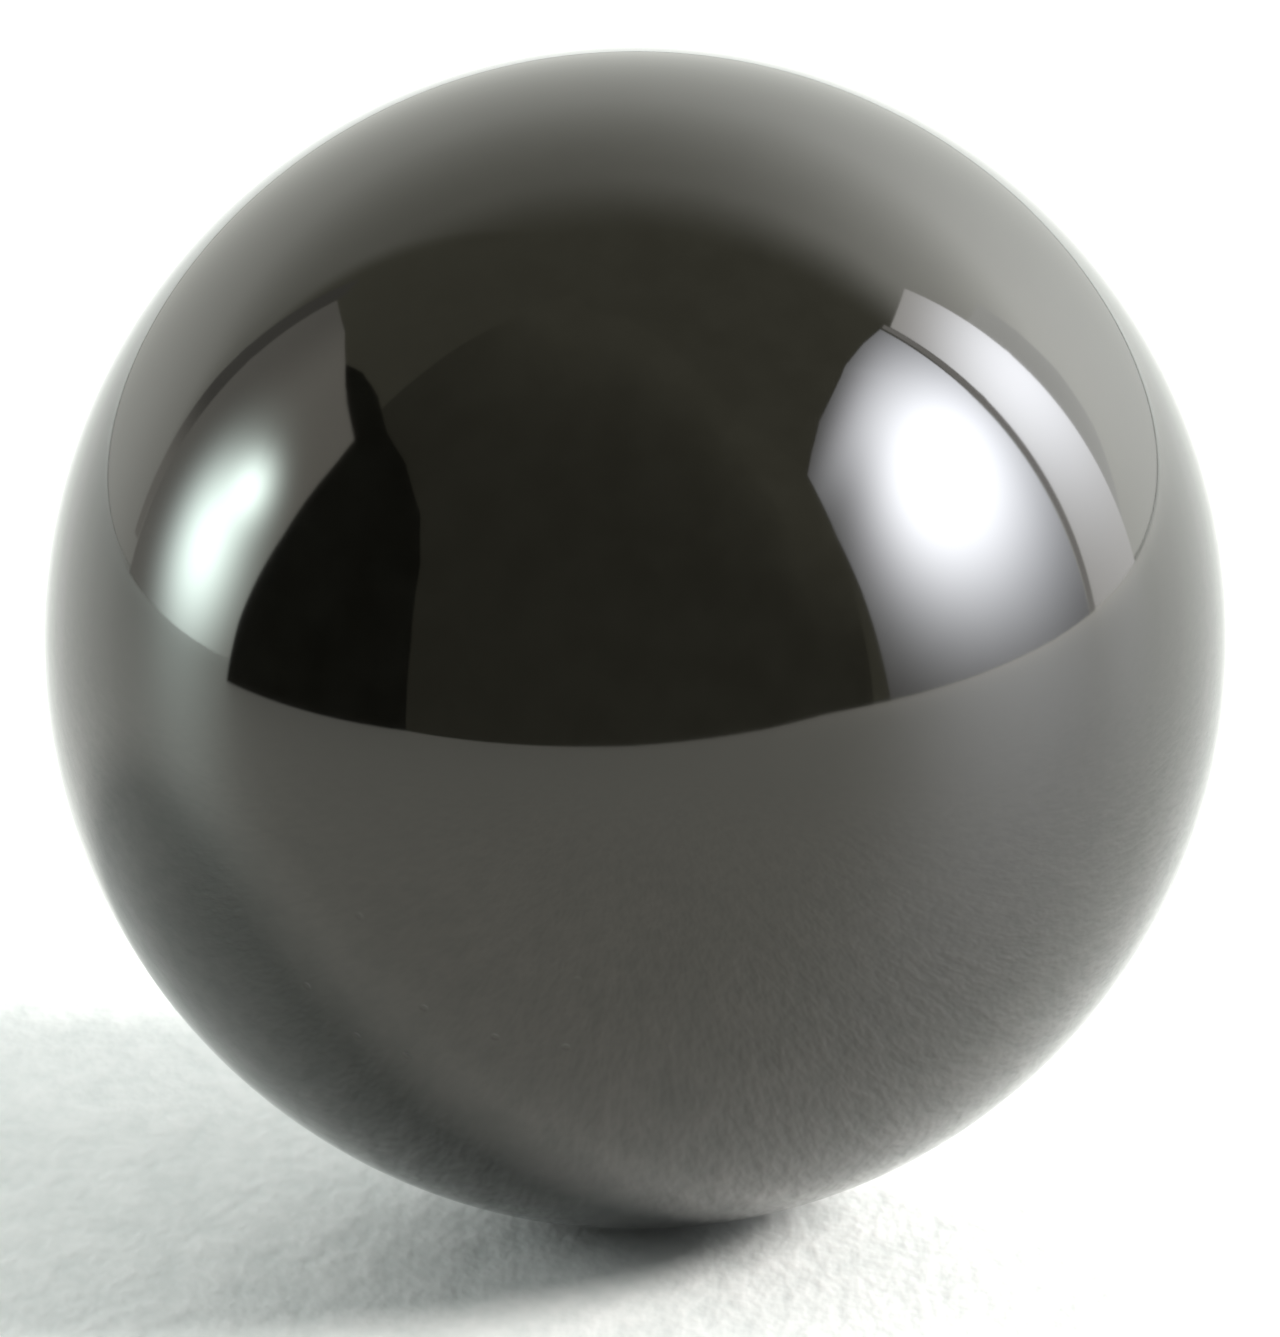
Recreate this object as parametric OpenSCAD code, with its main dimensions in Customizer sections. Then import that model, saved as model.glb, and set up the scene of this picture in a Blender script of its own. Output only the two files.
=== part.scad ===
// A lapped and polished silicon nitride bearing ball.
//
// The ball is one solid of one material, with no seam, band, flat or hole, so
// its only size is its diameter. The origin is at its centre and +Z is up.

/* [Ball] */
// Diameter of the ball
ball_d = 7; // [1:0.5:50]

/* [Hidden] */

// Facets round the equator where the sphere is drawn as a mesh
ball_facets = 180;

// Polished silicon nitride is a near-black grey
silicon_nitride = [0.22, 0.22, 0.21];

module ball() {
    color(silicon_nitride)
        sphere(d = ball_d, $fn = ball_facets);
}

ball();
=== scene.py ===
import math

import bmesh
import bpy
from mathutils import Matrix, Vector


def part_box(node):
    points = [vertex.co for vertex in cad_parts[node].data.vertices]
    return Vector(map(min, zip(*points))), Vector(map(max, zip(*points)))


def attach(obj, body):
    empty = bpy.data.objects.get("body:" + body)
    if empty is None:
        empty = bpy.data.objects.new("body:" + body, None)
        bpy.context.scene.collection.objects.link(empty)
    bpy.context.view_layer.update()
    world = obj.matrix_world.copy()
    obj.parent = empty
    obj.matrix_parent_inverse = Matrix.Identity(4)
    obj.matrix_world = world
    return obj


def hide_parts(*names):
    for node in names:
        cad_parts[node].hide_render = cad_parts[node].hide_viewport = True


# A polished silicon nitride bearing ball on a pale floor, inside a plain light tent.
# Lengths are in metres. The ball's centre is the origin and +Z is up.
# The camera looks along +Y from a little above, so +X is to its right.

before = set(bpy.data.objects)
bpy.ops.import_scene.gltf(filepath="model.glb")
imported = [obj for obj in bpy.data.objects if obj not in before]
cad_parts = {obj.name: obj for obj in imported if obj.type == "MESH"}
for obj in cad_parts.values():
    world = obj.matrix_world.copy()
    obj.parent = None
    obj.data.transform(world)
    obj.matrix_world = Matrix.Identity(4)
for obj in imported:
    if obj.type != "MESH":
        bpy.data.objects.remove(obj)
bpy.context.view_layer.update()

MM = 0.001
ball_low, ball_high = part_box("ball")
BALL_RADIUS = max(ball_high - ball_low) / 2
FLOOR_Z = -BALL_RADIUS


# ---------------------------------------------------------------- node helpers

def new_material(name):
    material = bpy.data.materials.new(name)
    material.use_nodes = True
    material.node_tree.nodes.clear()
    return material, material.node_tree


def add_node(tree, kind, **settings):
    node = tree.nodes.new(kind)
    for key, value in settings.items():
        setattr(node, key, value)
    return node


def set_inputs(node, **values):
    for key, value in values.items():
        node.inputs[key.replace("_", " ")].default_value = value


def set_surface(tree, surface):
    output = add_node(tree, "ShaderNodeOutputMaterial")
    tree.links.new(surface, output.inputs["Surface"])


def add_math(tree, operation, first, second=None):
    node = add_node(tree, "ShaderNodeMath", operation=operation)
    for socket, value in zip(node.inputs, (first, second)):
        if isinstance(value, bpy.types.NodeSocket):
            tree.links.new(value, socket)
        elif value is not None:
            socket.default_value = value
    return node.outputs[0]


def add_vector_math(tree, operation, first, second):
    """Vector arithmetic on a socket and either another socket or a fixed vector."""
    node = add_node(tree, "ShaderNodeVectorMath", operation=operation)
    tree.links.new(first, node.inputs[0])
    if isinstance(second, bpy.types.NodeSocket):
        tree.links.new(second, node.inputs[1])
    else:
        node.inputs[1].default_value = second
    is_number = operation in ("DISTANCE", "DOT_PRODUCT")
    return node.outputs["Value" if is_number else "Vector"]


def map_range(tree, value, low, high, to_low, to_high, smooth=False):
    node = add_node(tree, "ShaderNodeMapRange")
    node.interpolation_type = "SMOOTHSTEP" if smooth else "LINEAR"
    tree.links.new(value, node.inputs["Value"])
    set_inputs(node, From_Min=low, From_Max=high, To_Min=to_low, To_Max=to_high)
    return node.outputs["Result"]


def mix_colors(tree, factor, first, second):
    node = add_node(tree, "ShaderNodeMix", data_type="RGBA")
    tree.links.new(factor, node.inputs["Factor"])
    for name, color in (("A", first), ("B", second)):
        socket = [s for s in node.inputs if s.name == name and s.type == "RGBA"][0]
        socket.default_value = (*color, 1.0)
    return [s for s in node.outputs if s.type == "RGBA"][0]


def noise(tree, coordinates, feature_size, detail, roughness):
    """Noise whose blobs are about feature_size metres across, from 0 to 1."""
    node = add_node(tree, "ShaderNodeTexNoise")
    set_inputs(node, Scale=1 / feature_size, Detail=detail, Roughness=roughness)
    tree.links.new(coordinates, node.inputs["Vector"])
    return node.outputs["Fac"]


def object_coordinates(tree):
    return add_node(tree, "ShaderNodeTexCoord").outputs["Object"]


def add_bump(tree, height, depth):
    """A bump of depth metres where height goes from 0 to 1."""
    node = add_node(tree, "ShaderNodeBump")
    set_inputs(node, Strength=1.0, Distance=depth)
    tree.links.new(height, node.inputs["Height"])
    return node.outputs["Normal"]


def toward(azimuth, elevation):
    """The direction at an azimuth from the camera's side to its right, and an elevation, in degrees."""
    turn = math.radians(azimuth)
    rise = math.radians(elevation)
    return Vector((math.sin(turn) * math.cos(rise), -math.cos(turn) * math.cos(rise), math.sin(rise)))


# ---------------------------------------------------------------- the ball

# Cells along each side of a patch, and how near corners of two patches are one, in radii
PATCH_CELLS = 96
MERGE_SHARE = 1e-5

# Where most of a noise's values lie, which is what a material spreads over its range
NOISE_SPAN = (0.3, 0.7)
NARROW_NOISE_SPAN = (0.35, 0.65)

# The ceramic: its gloss, its two shades and their mottle, and how far the polish varies
CERAMIC_IOR = 1.63
CERAMIC_GLOSS_TINT = (1.0, 0.955, 0.875, 1.0)
CERAMIC_DARK = (0.0022, 0.0021, 0.0016)
CERAMIC_PALE = (0.0044, 0.0043, 0.0034)
MOTTLE_SIZE = 0.30 * MM
POLISH_SIZE = 1.4 * MM
BEST_POLISH = 0.03
WORST_POLISH = 0.06

# The few pits that the photograph shows: where on the ball, as (azimuth, elevation)
PIT_PLACES = [
    (-22.9, -21.9), (-15.6, -24.8), (-8.1, -25.7), (-32.2, -26.9), (-6.4, -17.4),
    (-26.5, -28.6), (-28.4, -12.1), (-12.2, -13.2), (-36.7, -21.5),
]
PIT_RADIUS = 0.034 * MM
PIT_DEPTH = 0.0032 * MM
# The share of its radius over which a pit is flat, and how much rougher it is there
PIT_FLAT_SHARE = 0.25
PIT_ROUGHNESS = 0.12


def ball_mesh(name, radius, cells):
    """Six curved square patches of equal-angle cells, every corner on the true sphere."""
    mesh_data = bmesh.new()
    steps = [math.tan(math.radians(90 * i / cells - 45)) for i in range(cells + 1)]
    for axis in range(3):
        for sign in (-1, 1):
            rows = []
            for v in steps:
                row = []
                for u in steps:
                    point = [0.0, 0.0, 0.0]
                    point[axis] = sign
                    point[(axis + 1) % 3] = u
                    point[(axis + 2) % 3] = v * sign
                    row.append(mesh_data.verts.new(Vector(point).normalized() * radius))
                rows.append(row)
            for lower, upper in zip(rows, rows[1:]):
                for i in range(cells):
                    mesh_data.faces.new((lower[i], lower[i + 1], upper[i + 1], upper[i]))
    bmesh.ops.remove_doubles(mesh_data, verts=mesh_data.verts, dist=radius * MERGE_SHARE)
    for face in mesh_data.faces:
        face.smooth = True
    mesh = bpy.data.meshes.new(name)
    mesh_data.to_mesh(mesh)
    mesh_data.free()
    return mesh


def pit_mask(tree, place):
    """1 in the middle of each pit, and 0 outside them all."""
    nearest = PIT_RADIUS
    for azimuth, elevation in PIT_PLACES:
        distance = add_vector_math(tree, "DISTANCE", place, BALL_RADIUS * toward(azimuth, elevation))
        nearest = add_math(tree, "MINIMUM", distance, nearest)
    return map_range(tree, nearest, PIT_FLAT_SHARE * PIT_RADIUS, PIT_RADIUS, 1.0, 0.0, smooth=True)


def silicon_nitride():
    """Near-black polished ceramic: a faint mottle, a few fine pits and uneven polish."""
    material, tree = new_material("silicon_nitride")
    place = object_coordinates(tree)
    mottle = noise(tree, place, MOTTLE_SIZE, detail=6.0, roughness=0.65)
    mottle = map_range(tree, mottle, *NARROW_NOISE_SPAN, 0.0, 1.0, smooth=True)
    pits = pit_mask(tree, place)
    wear = noise(tree, place, POLISH_SIZE, detail=3.0, roughness=0.55)
    polish = map_range(tree, wear, *NOISE_SPAN, BEST_POLISH, WORST_POLISH)
    roughness = add_math(tree, "ADD", polish, add_math(tree, "MULTIPLY", pits, PIT_ROUGHNESS))
    height = add_math(tree, "MULTIPLY", pits, -1.0)

    shader = add_node(tree, "ShaderNodeBsdfPrincipled")
    set_inputs(shader, IOR=CERAMIC_IOR, Metallic=0.0, Specular_Tint=CERAMIC_GLOSS_TINT)
    tree.links.new(mix_colors(tree, mottle, CERAMIC_DARK, CERAMIC_PALE), shader.inputs["Base Color"])
    tree.links.new(roughness, shader.inputs["Roughness"])
    tree.links.new(add_bump(tree, height, PIT_DEPTH), shader.inputs["Normal"])
    set_surface(tree, shader.outputs["BSDF"])
    return material


def make_ball():
    ball = bpy.data.objects.new("lapped_ball", ball_mesh("lapped_ball", BALL_RADIUS, PATCH_CELLS))
    bpy.context.collection.objects.link(ball)
    ball.data.materials.append(silicon_nitride())
    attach(ball, "root")
    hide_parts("ball")


# ---------------------------------------------------------------- the floor

FLOOR_SIZE = 2.0
FLOOR_DARK = (0.85, 0.87, 0.85)
FLOOR_PALE = (0.99, 0.99, 0.97)
FLOOR_ROUGHNESS = 0.50
FLOOR_IOR = 1.50
FLOOR_GRAIN_SIZE = 0.26 * MM
FLOOR_GRAIN_DEPTH = 0.020 * MM
# Less than 1 along Y draws the grain out, toward the camera and away from it
FLOOR_GRAIN_STRETCH = (1.0, 0.45, 1.0)


def flat_mesh(name, corners):
    mesh = bpy.data.meshes.new(name)
    mesh.from_pydata([tuple(c) for c in corners], [], [tuple(range(len(corners)))])
    return mesh


def white_sheet():
    """A matt white sheet with a fine grain."""
    material, tree = new_material("floor")
    stretched = add_vector_math(tree, "MULTIPLY", object_coordinates(tree), FLOOR_GRAIN_STRETCH)
    grain = noise(tree, stretched, FLOOR_GRAIN_SIZE, detail=2.5, roughness=0.75)
    shade = map_range(tree, grain, *NOISE_SPAN, 0.0, 1.0)
    shader = add_node(tree, "ShaderNodeBsdfPrincipled")
    set_inputs(shader, Roughness=FLOOR_ROUGHNESS, IOR=FLOOR_IOR)
    tree.links.new(mix_colors(tree, shade, FLOOR_DARK, FLOOR_PALE), shader.inputs["Base Color"])
    tree.links.new(add_bump(tree, grain, FLOOR_GRAIN_DEPTH), shader.inputs["Normal"])
    set_surface(tree, shader.outputs["BSDF"])
    return material


def make_floor():
    half = FLOOR_SIZE / 2
    corners = [
        (-half, -half, FLOOR_Z), (half, -half, FLOOR_Z), (half, half, FLOOR_Z), (-half, half, FLOOR_Z),
    ]
    floor = bpy.data.objects.new("floor", flat_mesh("floor", corners))
    bpy.context.collection.objects.link(floor)
    floor.data.materials.append(white_sheet())


# ---------------------------------------------------------------- panels of light

# The panels' colours. A strength beside one is how bright it is, and 1 is white.
WHITE = (1.0, 1.0, 1.0)
COOL = (0.93, 0.99, 1.13)
CYAN = (0.88, 1.08, 1.08)
WARM = (1.0, 0.99, 0.93)
DIM_WARM = (1.0, 1.0, 0.80)
PALE = (0.97, 1.0, 1.0)


def spot(centre, radii, peak):
    """A soft spot of light, with a radius along each axis."""
    def shade(tree, place):
        offset = add_vector_math(tree, "SUBTRACT", place, centre)
        spread = add_vector_math(tree, "DIVIDE", offset, radii)
        squared = add_vector_math(tree, "DOT_PRODUCT", spread, spread)
        fall = add_math(tree, "EXPONENT", add_math(tree, "MULTIPLY", squared, -1.0))
        return add_math(tree, "MULTIPLY", fall, peak)
    return shade


def graded(start, end, from_level, to_level):
    """A level that goes smoothly from one to the other between two points."""
    def shade(tree, place):
        line = Vector(end) - Vector(start)
        offset = add_vector_math(tree, "SUBTRACT", place, start)
        along = add_vector_math(tree, "DOT_PRODUCT", offset, line / line.length_squared)
        return map_range(tree, along, 0.0, 1.0, from_level, to_level, smooth=True)
    return shade


def make_panel(name, mesh, lights):
    """A glowing panel that only mirrors show: a painted reflection, which lights nothing and casts no
    shadow.

    lights are pairs of a colour and its strength, which is a number or one of the shades above.
    """
    material, tree = new_material(name)
    place = object_coordinates(tree)
    total = None
    for color, strength in lights:
        emission = add_node(tree, "ShaderNodeEmission")
        set_inputs(emission, Color=(*color, 1.0))
        if callable(strength):
            tree.links.new(strength(tree, place), emission.inputs["Strength"])
        else:
            set_inputs(emission, Strength=strength)
        if total is None:
            total = emission.outputs["Emission"]
        else:
            both = add_node(tree, "ShaderNodeAddShader")
            tree.links.new(total, both.inputs[0])
            tree.links.new(emission.outputs["Emission"], both.inputs[1])
            total = both.outputs["Shader"]
    set_surface(tree, total)
    panel = bpy.data.objects.new(name, mesh)
    bpy.context.collection.objects.link(panel)
    panel.data.materials.append(material)
    panel.visible_camera = False
    panel.visible_diffuse = False
    panel.visible_shadow = False


def cut_panel(name, start, end, outline, lights):
    """An upright panel in the plane through two points of the plan, no lower than the floor.

    Its outline is where the ball sees it, as (azimuth, elevation).
    """
    across = Vector((start[1] - end[1], end[0] - start[0], 0.0))
    reach = across.dot(Vector((*start, 0.0)))
    corners = []
    for azimuth, elevation in outline:
        direction = toward(azimuth, elevation)
        corner = direction * (reach / across.dot(direction))
        corner.z = max(corner.z, FLOOR_Z)
        corners.append(corner)
    make_panel(name, flat_mesh(name, corners), lights)


def wall_panel(name, start, end, high, lights):
    """An upright panel that stands on the floor between two points of the plan."""
    corners = [(*start, FLOOR_Z), (*end, FLOOR_Z), (*end, high), (*start, high)]
    make_panel(name, flat_mesh(name, corners), lights)


# ---------------------------------------------------------------- the tent's dome

TENT_RADIUS = 0.90
TENT_SEGMENTS = 96
TENT_RINGS = 48
TENT_DARK_LEVEL = 0.38
TENT_PALE_LEVEL = 0.75

# The dome turns pale behind two lines, which are straight on a level ceiling 1 high over the ball.
# Each is the weight of a place's distance to the right, that of its distance behind, and the sum
# of the two at which the line lies.
RIGHT_LINE = (0.12, 1.0, 0.20)
LEFT_LINE = (1.15, 2.5, 0.385)
# It turns pale in a quick rise and a slow one: where each starts and ends, and how much it adds
QUICK_RISE = (0.0, 0.36, 0.55)
SLOW_RISE = (0.25, 1.4, 0.45)
# What is lower than this counts as this high, because places on the ceiling run out to infinity
LOWEST_HEIGHT = 0.01
# Two soft glows on the pale part: where, how far they reach along each axis, and how strong
RIGHT_GLOW = (TENT_RADIUS * toward(113, 27), (0.52, 0.52, 0.60), 3.3)
LEFT_GLOW = (TENT_RADIUS * toward(-130, 8), (0.25, 0.25, 0.30), 0.35)


def dome_mesh(name):
    mesh_data = bmesh.new()
    bmesh.ops.create_uvsphere(
        mesh_data, u_segments=TENT_SEGMENTS, v_segments=TENT_RINGS, radius=TENT_RADIUS)
    mesh = bpy.data.meshes.new(name)
    mesh_data.to_mesh(mesh)
    mesh_data.free()
    return mesh


def past_line(tree, across, behind, line):
    """How far a place lies behind one of the two lines."""
    across_weight, behind_weight, start = line
    weighted = add_math(tree, "MULTIPLY", behind, behind_weight)
    weighted = add_math(tree, "ADD", weighted, add_math(tree, "MULTIPLY", across, across_weight))
    return add_math(tree, "SUBTRACT", weighted, start)


def tent_level(tree, place):
    """A painted reflection that only mirrors show: dark over the camera's side, and pale behind a soft bent
    edge.
    """
    parts = add_node(tree, "ShaderNodeSeparateXYZ")
    tree.links.new(place, parts.inputs["Vector"])
    height = add_math(tree, "MAXIMUM", parts.outputs["Z"], LOWEST_HEIGHT)
    across = add_math(tree, "DIVIDE", parts.outputs["X"], height)
    behind = add_math(tree, "DIVIDE", parts.outputs["Y"], height)
    past_right = past_line(tree, across, behind, RIGHT_LINE)
    past_left = past_line(tree, across, behind, LEFT_LINE)
    edge = add_math(tree, "MINIMUM", past_right, past_left)
    rises = [
        map_range(tree, edge, start, end, 0.0, amount, smooth=True)
        for start, end, amount in (QUICK_RISE, SLOW_RISE)
    ]
    pale = add_math(tree, "ADD", *rises)
    glows = add_math(tree, "ADD", spot(*RIGHT_GLOW)(tree, place), spot(*LEFT_GLOW)(tree, place))
    level = add_math(tree, "ADD", glows, TENT_PALE_LEVEL)
    return add_math(tree, "MULTIPLY", pale, level)


def make_dome():
    make_panel("tent", dome_mesh("tent"), [(DIM_WARM, TENT_DARK_LEVEL), (PALE, tent_level)])


# ---------------------------------------------------------------- the tent's windows

# The windows are in upright walls this far to the right and left of the ball.
# Each wall is given by two points of the plan, each outline by where the ball sees it, as
# (azimuth, elevation) in degrees.
WINDOW_REACH = 0.30
RIGHT_WALL = ((WINDOW_REACH, -1.0), (WINDOW_REACH, 1.0))
LEFT_WALL = ((-WINDOW_REACH, -1.0), (-WINDOW_REACH, 1.0))

KEY_WINDOW = [
    (49.5, -1), (99, -1), (98.5, 50.5), (90, 52.5), (80, 53.3), (70, 52.2), (58, 49.5),
    (50, 45.2), (46, 42), (46.3, 30), (47.7, 19), (48.7, 8),
]
KEY_POST = [(99.2, -1), (100.8, -1), (100.8, 50), (99.2, 50.3)]
KEY_STRIP = [(101, -1), (116.5, -1), (116.5, 46), (101, 49)]
KEY_FRAME = [(116.5, 4), (119, 8), (122, 13), (123.5, 20), (123.5, 33), (116.5, 36)]

FILL_WINDOW = [
    (-118.5, -1), (-118.5, 43), (-107, 45), (-98, 44.3), (-89, 42.3), (-80, 40), (-73, 38), (-73, -1),
]
FILL_POST = [(-118.7, 3), (-118.5, 20), (-118.7, 44), (-122.3, 46), (-122.3, 22), (-120.5, 3)]


def window_spot(wall, along, high, half_width, half_height, peak):
    """A soft spot on a window's wall, its place and radii in shares of the window's reach."""
    centre = (wall[0][0], along * WINDOW_REACH, high * WINDOW_REACH)
    radii = (1.0, half_width * WINDOW_REACH, half_height * WINDOW_REACH)
    return spot(centre, radii, peak)


def make_key_window():
    """The key light as mirrors see it, a painted reflection: a large soft window on the right, brightest
    inside, and what stands beside it.
    """
    cut_panel("key_window", *RIGHT_WALL, KEY_WINDOW, [
        (WHITE, 0.57),
        (COOL, window_spot(RIGHT_WALL, -0.24, 0.61, 0.42, 0.41, 24.3)),
        (COOL, window_spot(RIGHT_WALL, -0.45, 1.10, 0.55, 0.20, 3.2)),
    ])
    cut_panel("key_post", *RIGHT_WALL, KEY_POST, [(WHITE, 1.7)])
    cut_panel("key_strip", *RIGHT_WALL, KEY_STRIP, [
        (WHITE, 3.2),
        (COOL, window_spot(RIGHT_WALL, 0.36, 0.58, 0.40, 0.36, 9.0)),
    ])
    cut_panel("key_frame", *RIGHT_WALL, KEY_FRAME, [(PALE, 3.2)])


def make_fill_window():
    """The fill light as mirrors see it, a painted reflection: on the left, grey with a bright spot, beside
    a dark post that darkens higher up.
    """
    near_end = (0, 0.10 * WINDOW_REACH, 0)
    far_end = (0, 0.48 * WINDOW_REACH, 0)
    cut_panel("fill_window", *LEFT_WALL, FILL_WINDOW, [
        (WARM, graded(far_end, near_end, 0.81, 1.27)),
        (CYAN, window_spot(LEFT_WALL, 0.135, 0.216, 0.166, 0.222, 15.8)),
        (CYAN, window_spot(LEFT_WALL, 0.055, 0.420, 0.100, 0.095, 11.3)),
    ])
    cut_panel("fill_post", *LEFT_WALL, FILL_POST, [(WARM, graded((0, 0, 0.06), (0, 0, 0.14), 0.96, 0.37))])


# ---------------------------------------------------------------- the tent's dark cards

# A black card hides part of the fill window. Six others stand edge to edge on the camera's side. All are
# painted reflections that glow dimly, the six more brightly higher up.
# Points of the plan are (x, y).
BLACK_CARD_WALL = ((-0.0600, -0.0100), (-0.0440, -0.0445))
BLACK_CARD = [
    (-83.5, -5), (-82.4, 6), (-81.0, 12), (-78.6, 21), (-76.4, 33), (-75.4, 39), (-80, 40.6),
    (-89, 42.9), (-96, 44.6), (-90, 46.5), (-80, 46.5), (-70, 43.5), (-60, 41), (-50, 34),
    (-46, 26), (-44, 12), (-43.5, -5),
]
CARD_ENDS = [
    (-WINDOW_REACH, -0.08), (-0.061, -0.015), (-0.045, -0.045), (0.0, -0.064),
    (0.045, -0.102), (0.168, -0.232), (WINDOW_REACH, -0.29),
]
CARD_TOP = 0.40


def make_cards():
    cut_panel("left_card", *BLACK_CARD_WALL, BLACK_CARD, [(DIM_WARM, 0.034)])
    for number, (start, end) in enumerate(zip(CARD_ENDS, CARD_ENDS[1:]), 1):
        lights = [(DIM_WARM, graded((0, 0, 0.02), (0, 0, 0.25), 0.19, 0.41))]
        wall_panel("card_%d" % number, start, end, CARD_TOP, lights)


# ---------------------------------------------------------------- lamps and world

KEY_LAMP_REACH = 0.375
FILL_LAMP_REACH = 0.30
BACK_LAMP_PLACE = (0.0, 0.35, 0.10)
LOW_LIGHT = (0.28, 0.30, 0.292)


def make_lamp(name, kind, place, power, size, size_y=None, color=WHITE):
    """A soft lamp aimed at the ball. It lights the floor, and the panels stand for it in the ball."""
    lamp = bpy.data.lights.new(name, "AREA")
    lamp.shape = kind
    lamp.size = size
    if size_y is not None:
        lamp.size_y = size_y
    lamp.energy = power
    lamp.color = color
    lamp_object = bpy.data.objects.new(name, lamp)
    lamp_object.location = place
    lamp_object.rotation_euler = (-Vector(place)).to_track_quat("-Z", "Y").to_euler()
    lamp_object.visible_glossy = False
    lamp_object.visible_camera = False
    bpy.context.collection.objects.link(lamp_object)


def make_lamps():
    key_place = KEY_LAMP_REACH * toward(81, 31)
    strip_place = KEY_LAMP_REACH * toward(112, 27)
    fill_place = FILL_LAMP_REACH * toward(-96, 20)
    make_lamp("key_lamp", "DISK", key_place, power=1.95, size=0.114, color=(1.0, 0.98, 0.95))
    make_lamp("strip_lamp", "RECTANGLE", strip_place, power=0.45, size=0.16, size_y=0.20)
    make_lamp(
        "back_lamp", "RECTANGLE", BACK_LAMP_PLACE, power=2.8, size=1.2, size_y=0.2, color=(0.95, 1.0, 0.99))
    make_lamp("fill_lamp", "DISK", fill_place, power=0.25, size=0.11, color=(0.92, 1.0, 1.0))


def make_world():
    """White for the camera and for mirrors, and a low even light for everything else."""
    world = bpy.data.worlds.new("world")
    bpy.context.scene.world = world
    world.use_nodes = True
    tree = world.node_tree
    tree.nodes.clear()
    path = add_node(tree, "ShaderNodeLightPath")
    seen = add_math(tree, "ADD", path.outputs["Is Camera Ray"], path.outputs["Is Glossy Ray"])
    seen = add_math(tree, "ADD", seen, path.outputs["Is Transmission Ray"])
    seen = add_math(tree, "MINIMUM", seen, 1.0)
    background = add_node(tree, "ShaderNodeBackground")
    set_inputs(background, Strength=1.0)
    tree.links.new(mix_colors(tree, seen, LOW_LIGHT, WHITE), background.inputs["Color"])
    output = add_node(tree, "ShaderNodeOutputWorld")
    tree.links.new(background.outputs["Background"], output.inputs["Surface"])


# ---------------------------------------------------------------- the camera

# The photograph: its size, and the ball's outline in it, in pixels
PHOTO_WIDTH = 1280
PHOTO_HEIGHT = 1337
OUTLINE_X = 635.5
OUTLINE_Y = 638.0
OUTLINE_RADIUS = 591.5

# The camera's place and tilt, which the reflections in the ball give
CAMERA_DISTANCE = 35 * BALL_RADIUS
CAMERA_ELEVATION = math.radians(17.0)
CAMERA_ROLL = math.radians(1.0)
# In millimetres, along the picture's height
SENSOR_LONG_SIDE = 36.0
NEAREST_SEEN = CAMERA_DISTANCE / 100


def make_camera():
    """Aims so that the ball's outline falls where it does in the photograph."""
    toward_camera = Vector((0.0, -math.cos(CAMERA_ELEVATION), math.sin(CAMERA_ELEVATION)))
    right = Vector((1.0, 0.0, 0.0))
    up = toward_camera.cross(right)
    per_pixel = math.tan(math.asin(BALL_RADIUS / CAMERA_DISTANCE)) / OUTLINE_RADIUS
    half_height = PHOTO_HEIGHT / 2 * per_pixel

    facing_ball = Matrix((right, up, toward_camera)).transposed()
    rolled = facing_ball @ Matrix.Rotation(-CAMERA_ROLL, 3, "Z")
    ball_in_view = Vector((
        (OUTLINE_X - PHOTO_WIDTH / 2) * per_pixel,
        (PHOTO_HEIGHT / 2 - OUTLINE_Y) * per_pixel,
        -1.0,
    ))
    aim = ball_in_view.rotation_difference(Vector((0.0, 0.0, -1.0))).to_matrix()

    camera_data = bpy.data.cameras.new("camera")
    camera_data.sensor_width = SENSOR_LONG_SIDE
    camera_data.lens = SENSOR_LONG_SIDE / 2 / half_height
    camera_data.clip_start = NEAREST_SEEN
    camera = bpy.data.objects.new("camera", camera_data)
    camera.matrix_world = Matrix.Translation(toward_camera * CAMERA_DISTANCE) @ (rolled @ aim).to_4x4()
    bpy.context.collection.objects.link(camera)
    bpy.context.scene.camera = camera


make_camera()
make_ball()
make_floor()
make_dome()
make_key_window()
make_fill_window()
make_cards()
make_lamps()
make_world()
bpy.context.scene.view_settings.view_transform = "Standard"
